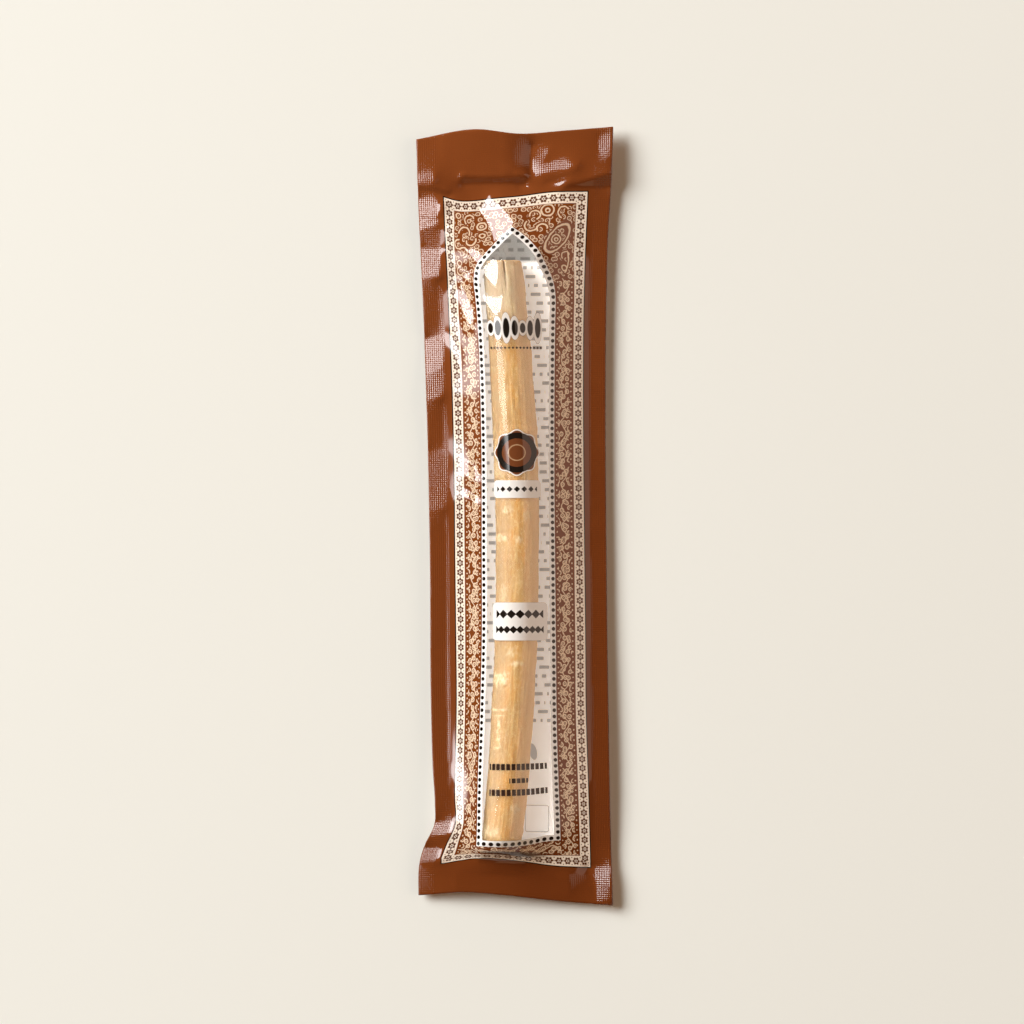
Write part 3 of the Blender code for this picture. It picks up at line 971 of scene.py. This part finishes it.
wood = {
    "sides": 128,
    "sideRings": 400,
    "endRings": 9,
    "gold": (0.325, 0.136, 0.008),
    "tan": (0.285, 0.148, 0.034),
    "cream": (0.455, 0.315, 0.14),
    "brown": (0.25, 0.11, 0.02),
    "marks": [
        (-3.5, -5.6, 1.6, 0.9, 0.9), (-2.1, 1.7, 1.0, 1.0, 0.8), (1.0, -6.4, 0.9, 1.1, 0.7),
        (3.0, 0.3, 0.8, 1.4, 0.6),
        (-0.5, -35.1, 1.2, 1.0, 0.8), (0.6, -37.8, 1.4, 0.7, 0.8), (-3.2, -42.1, 2.0, 1.6, 1.0),
        (-4.0, -49.9, 2.2, 0.35, 1.0), (-3.6, -51.4, 1.8, 0.3, 0.7), (-4.0, -56.2, 0.5, 3.2, 0.8),
        (-4.3, -59.7, 0.9, 0.5, 0.9), (0.1, -75.5, 1.2, 0.9, 0.7), (-7.6, -81.2, 1.0, 1.2, 0.8),
        (-5.0, -81.5, 1.4, 0.9, 0.8), (-1.0, 58.0, 1.4, 9.0, 0.6), (-2.6, 30.0, 0.5, 9.0, 0.5),
        (-4.0, 12.0, 1.0, 2.0, 0.5), (-2.8, -20.0, 0.9, 2.2, 0.5), (-0.5, -27.0, 0.6, 2.0, 0.4),
    ],
    "fibreDepth": 0.05,
    "fineDepth": 0.02,
    "swell": 0.16,
    "bandDepth": 0.05,
    "knotHeight": 0.7,
    "scarHeight": 0.12,
    "endRound": 0.35,
    "endRoundLength": 0.8,
    "endGrain": 0.12,
    "splitDepth": 0.5,
    "splitAngle": 84,
    "splitWidth": 2.4,
    "thread": (0.19, 0.085, 0.012),
    # painted shade on the left side of the stick
    "paintedShadeOnLeft": (0.19, 0.118, 0.053),
    "upper": (0.255, 0.2, 0.135),
    # painted light on the right side of the stick
    "paintedLightOnRight": (0.70, 0.48, 0.26),
    "scar": (0.46, 0.37, 0.22),
    "roughness": 0.62,
    "grainDepth": 0.2,
    "lightReach": 2.5,
}


def smoothNoise(shape, seed, low=0.0, high=1.0):
    # a coarse random grid, read smoothly at any place; wraps around the stick
    values = np.random.default_rng(seed).uniform(low, high, shape)

    def read(around, along):
        a = around * shape[0]
        b = np.clip(along, 0, 0.9999) * (shape[1] - 1)
        a0, b0 = np.floor(a).astype(int), np.floor(b).astype(int)
        ta, tb = a - a0, b - b0
        ta, tb = ta * ta * (3 - 2 * ta), tb * tb * (3 - 2 * tb)
        a1 = (a0 + 1) % shape[0]
        a0 = a0 % shape[0]
        b1 = np.minimum(b0 + 1, shape[1] - 1)
        return ((values[a0, b0] * (1 - ta) + values[a1, b0] * ta) * (1 - tb)
                + (values[a0, b1] * (1 - ta) + values[a1, b1] * ta) * tb)
    return read


def buildStick():
    # a sphere's rings become the two cut ends and the long side of the stick
    length = stick["topEnd"] - stick["lowEnd"]
    ringCount = wood["sideRings"] + 2 * wood["endRings"]
    bpy.ops.mesh.primitive_uv_sphere_add(segments=wood["sides"], ring_count=ringCount, radius=1)
    rod = bpy.context.object
    rod.name = "miswak_wood"
    rod.data.name = "miswak_wood"
    places = readPlaces(rod.data)
    ring = np.rint(np.arccos(np.clip(places[:, 2], -1, 1)) / math.pi * ringCount)
    share = np.clip(np.minimum(ring, ringCount - ring) / wood["endRings"], 0, 1)
    along = 1 - np.clip((ring - wood["endRings"]) / wood["sideRings"], 0, 1)
    y = stick["lowEnd"] + length * along
    angle = np.arctan2(places[:, 1], places[:, 0])
    around = (angle / (2 * math.pi)) % 1.0
    radius = curveThrough(stick["radii"], y)
    swell = smoothNoise((5, 26), 3, -1, 1)(around, along) * wood["swell"]
    knots = smoothNoise((9, 60), 8, 0, 1)(around, along)
    fibres = smoothNoise((70, 24), 5, -1, 1)(around, along) * wood["fibreDepth"]
    fineFibres = smoothNoise((128, 60), 6, -1, 1)(around, along) * wood["fineDepth"]
    bands = smoothNoise((3, 120), 9, -1, 1)(around, along) * wood["bandDepth"]
    surface = radius + swell + np.clip(knots - 0.72, 0, 1) * wood["knotHeight"] + fibres + fineFibres + bands
    fromEnd = np.minimum(y - stick["lowEnd"], stick["topEnd"] - y) / wood["endRoundLength"]
    surface = surface - wood["endRound"] * np.clip(1 - fromEnd, 0, 1) ** 2
    # the split at the upper end
    fromSplit = (np.degrees(angle) - wood["splitAngle"]) / wood["splitWidth"]
    surface = surface - wood["splitDepth"] * np.exp(-fromSplit ** 2) * smoothStep(57.5, 62, y)
    # pale scars of bark and knots, seen from above at their places
    marks = np.zeros_like(y)
    seenX = stickAxisX(y) + surface * np.cos(angle)
    wobble = smoothNoise((60, 200), 12, -0.5, 0.5)(around, along)
    for markX, markY, halfWidth, halfHeight, strength in wood["marks"]:
        far = np.hypot((seenX - markX) / halfWidth, (y - markY) / halfHeight) + wobble
        marks = np.maximum(marks, strength * smoothStep(1.5, 0.5, far) * (np.sin(angle) > -0.1))
    surface = surface + wood["scarHeight"] * marks
    r = surface * share
    isEnd = share < 0.999
    endGrain = np.random.default_rng(4).uniform(-wood["endGrain"], wood["endGrain"], len(r)) * isEnd
    y = y + np.sign(places[:, 2]) * endGrain
    straight = np.stack([r * np.cos(angle), y, r * np.sin(angle)], axis=1)
    placed = straight.copy()
    placed[:, 0] += stickAxisX(y)
    placed[:, 2] += stick["axisHeight"]
    rod.data.vertices.foreach_set("co", (placed * mm).ravel())
    pale = rod.data.attributes.new("pale mark", "FLOAT", "POINT")
    pale.data.foreach_set("value", np.clip(marks, 0, 1))
    attribute = rod.data.attributes.new("straight", "FLOAT_VECTOR", "POINT")
    attribute.data.foreach_set("vector", straight.ravel())
    rod.data.update()
    bpy.ops.object.mode_set(mode="EDIT")
    bpy.ops.mesh.select_all(action="SELECT")
    bpy.ops.mesh.normals_make_consistent(inside=False)
    bpy.ops.object.mode_set(mode="OBJECT")
    bpy.ops.object.shade_smooth()
    rod.data.materials.append(buildWoodMaterial())
    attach(rod, "root")
    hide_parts("miswak_stick")
    print("stick shaped")


def noiseValue(tree, vector, scale, detail=3.0, roughness=0.5):
    noise = tree.nodes.new("ShaderNodeTexNoise")
    setValues(noise, {"Scale": scale, "Detail": detail, "Roughness": roughness})
    tree.links.new(vector, noise.inputs["Vector"])
    return Num(tree, noise.outputs[0])


def stretched(tree, vector, scale):
    node = tree.nodes.new("ShaderNodeMapping")
    node.inputs["Scale"].default_value = scale
    tree.links.new(vector, node.inputs["Vector"])
    return node.outputs[0]


def buildWoodMaterial():
    material, tree, shader = newMaterial("peeled miswak wood")
    place = tree.nodes.new("ShaderNodeAttribute")
    place.attribute_name = "straight"
    vector = place.outputs["Vector"]
    fibre = noiseValue(tree, stretched(tree, vector, (1.0, 0.045, 1.0)), 3.2, 5.0, 0.62)
    fine = noiseValue(tree, stretched(tree, vector, (1.0, 0.03, 1.0)), 9.0, 4.0, 0.6)
    patches = noiseValue(tree, stretched(tree, vector, (1.0, 0.4, 1.0)), 0.3, 4.0, 0.6)
    bars = noiseValue(tree, stretched(tree, vector, (0.7, 1.0, 0.7)), 0.55, 5.0, 0.65)
    tone = patches.op("MULTIPLY_ADD", 5.0, -2.1, clamp=True)
    colour = mixColour(tree, tone, wood["gold"], wood["tan"])
    flecks = noiseValue(tree, stretched(tree, vector, (1.0, 0.55, 1.0)), 1.7, 2.0, 0.5)
    pits = noiseValue(tree, stretched(tree, vector, (1.0, 0.7, 1.0)), 0.9, 4.0, 0.6)
    across, along = Spot(tree, vector).parts()
    mark = tree.nodes.new("ShaderNodeAttribute")
    mark.attribute_name = "pale mark"
    broken = (flecks * 3.0 - 0.8).clamped()
    # each layer of colour goes over the ones before it
    layers = [
        ((bars * 5.0 - 2.75).clamped() * 0.6, "cream"),
        ((flecks * 8.0 - 4.4).clamped() * 0.5, "cream"),
        ((pits * -8.0 + 3.4).clamped() * 0.6, "brown"),
        ((fibre * 3.4 - 1.35).clamped() * 0.5, "cream"),
        ((fine * -4.0 + 1.85).clamped() * 0.45, "thread"),
        # painted shade: the left side, which faces the lamp, is drawn darker
        ((across * -0.25 - 0.05).clamped() * 0.75, "paintedShadeOnLeft"),
        ((along * 0.08 - 3.4).clamped() * 0.6, "upper"),
        # painted light: the right side, away from the lamp, is drawn lighter
        ((across * 0.25 - 0.2).clamped() * 0.65, "paintedLightOnRight"),
        (Num(tree, mark.outputs["Fac"]) * broken * 0.8, "scar"),
    ]
    for share, tint in layers:
        colour = mixColour(tree, share, colour, wood[tint])
    tree.links.new(colour, shader.inputs["Base Color"])
    setValues(shader, {"Roughness": wood["roughness"], "Subsurface Weight": 0.3,
                       "Subsurface Radius": (1.0, 0.6, 0.3), "Subsurface Scale": wood["lightReach"] * mm})
    addBump(tree, shader, fibre + fine * 0.5, 0.6, wood["grainDepth"])
    return material


# floor, light and camera

studio = {
    "lens": 250.0,
    "distance": 1.843,
    "centre": (-0.00065, 0.0011),
    "floorColour": (0.862, 0.868, 0.81),
    "floorRoughness": 0.8,
    "floorShine": 0.05,
    "floorSize": 8.0,
    "floorHeight": -0.0002,
    "room": 0.09,
    "roomColour": (1.0, 0.6, 0.28),
    "panels": {
        "window": {"azimuth": 152, "offVertical": 56, "distance": 3.2, "size": (2.14, 1.6),
                   "radiance": 14.8, "colour": (0.985, 0.995, 1.0), "shines": False},
        "window shine": {"azimuth": 152, "offVertical": 56, "distance": 3.19, "size": (2.14, 1.6),
                         "radiance": 12.4, "colour": (0.985, 0.995, 1.0), "lights": False},
        "sliver": {"azimuth": 173.6, "offVertical": 49.2, "distance": 0.306, "size": (0.03, 0.2),
                   "radiance": 7.0, "colour": (1.0, 0.99, 0.98), "lights": False},
        "right wall": {"azimuth": 0, "offVertical": 57, "distance": 3.2, "size": (2.6, 2.6),
                       "radiance": 1.15, "colour": (1.0, 0.74, 0.6)},
        "far card": {"azimuth": 90, "offVertical": 76, "distance": 3.2, "size": (3.8, 1.2), "radiance": 0.7,
                     "colour": (1.0, 0.68, 0.42)},
        "near card": {"azimuth": -60, "offVertical": 76, "distance": 3.2, "size": (3.8, 1.2),
                      "radiance": 0.7, "colour": (1.0, 0.68, 0.42)},
    },
}


def addPanel(name, azimuth, offVertical, distance, size, radiance, colour, lights=True, shines=True):
    a, e = math.radians(azimuth), math.radians(offVertical)
    out = distance * math.sin(e)
    place = (out * math.cos(a), out * math.sin(a), distance * math.cos(e))
    bpy.ops.object.light_add(type="AREA", location=place)
    panel = bpy.context.object
    panel.name = name
    panel.rotation_euler = panel.location.to_track_quat("Z", "Y").to_euler()
    panel.data.shape = "RECTANGLE"
    panel.data.size, panel.data.size_y = size
    panel.data.energy = radiance * math.pi * size[0] * size[1]
    panel.data.color = colour
    panel.visible_diffuse = lights
    panel.visible_transmission = lights
    panel.visible_glossy = shines


def buildStudio():
    bpy.ops.mesh.primitive_plane_add(size=studio["floorSize"], location=(0, 0, studio["floorHeight"]))
    floor = bpy.context.object
    floor.name = "floor"
    material, _, shader = newMaterial("pale table")
    setValues(shader, {"Base Color": (*studio["floorColour"], 1), "Roughness": studio["floorRoughness"],
                       "Specular IOR Level": studio["floorShine"]})
    floor.data.materials.append(material)
    world = bpy.data.worlds.new("dim room")
    bpy.context.scene.world = world
    world.use_nodes = True
    background = world.node_tree.nodes["Background"]
    background.inputs[0].default_value = (*studio["roomColour"], 1)
    background.inputs[1].default_value = studio["room"]
    for name, panel in studio["panels"].items():
        addPanel(name, **panel)
    bpy.ops.object.camera_add(location=(*studio["centre"], studio["distance"]), rotation=(0, 0, 0))
    camera = bpy.context.object
    camera.data.lens = studio["lens"]
    camera.data.clip_end = 10
    bpy.context.scene.camera = camera
    bpy.context.scene.view_settings.view_transform = "Standard"
    print("studio set")


buildStick()
buildFrontPrint(heightField)
buildWindowFilm(heightField)
buildBackFilm(heightField)
buildStudio()
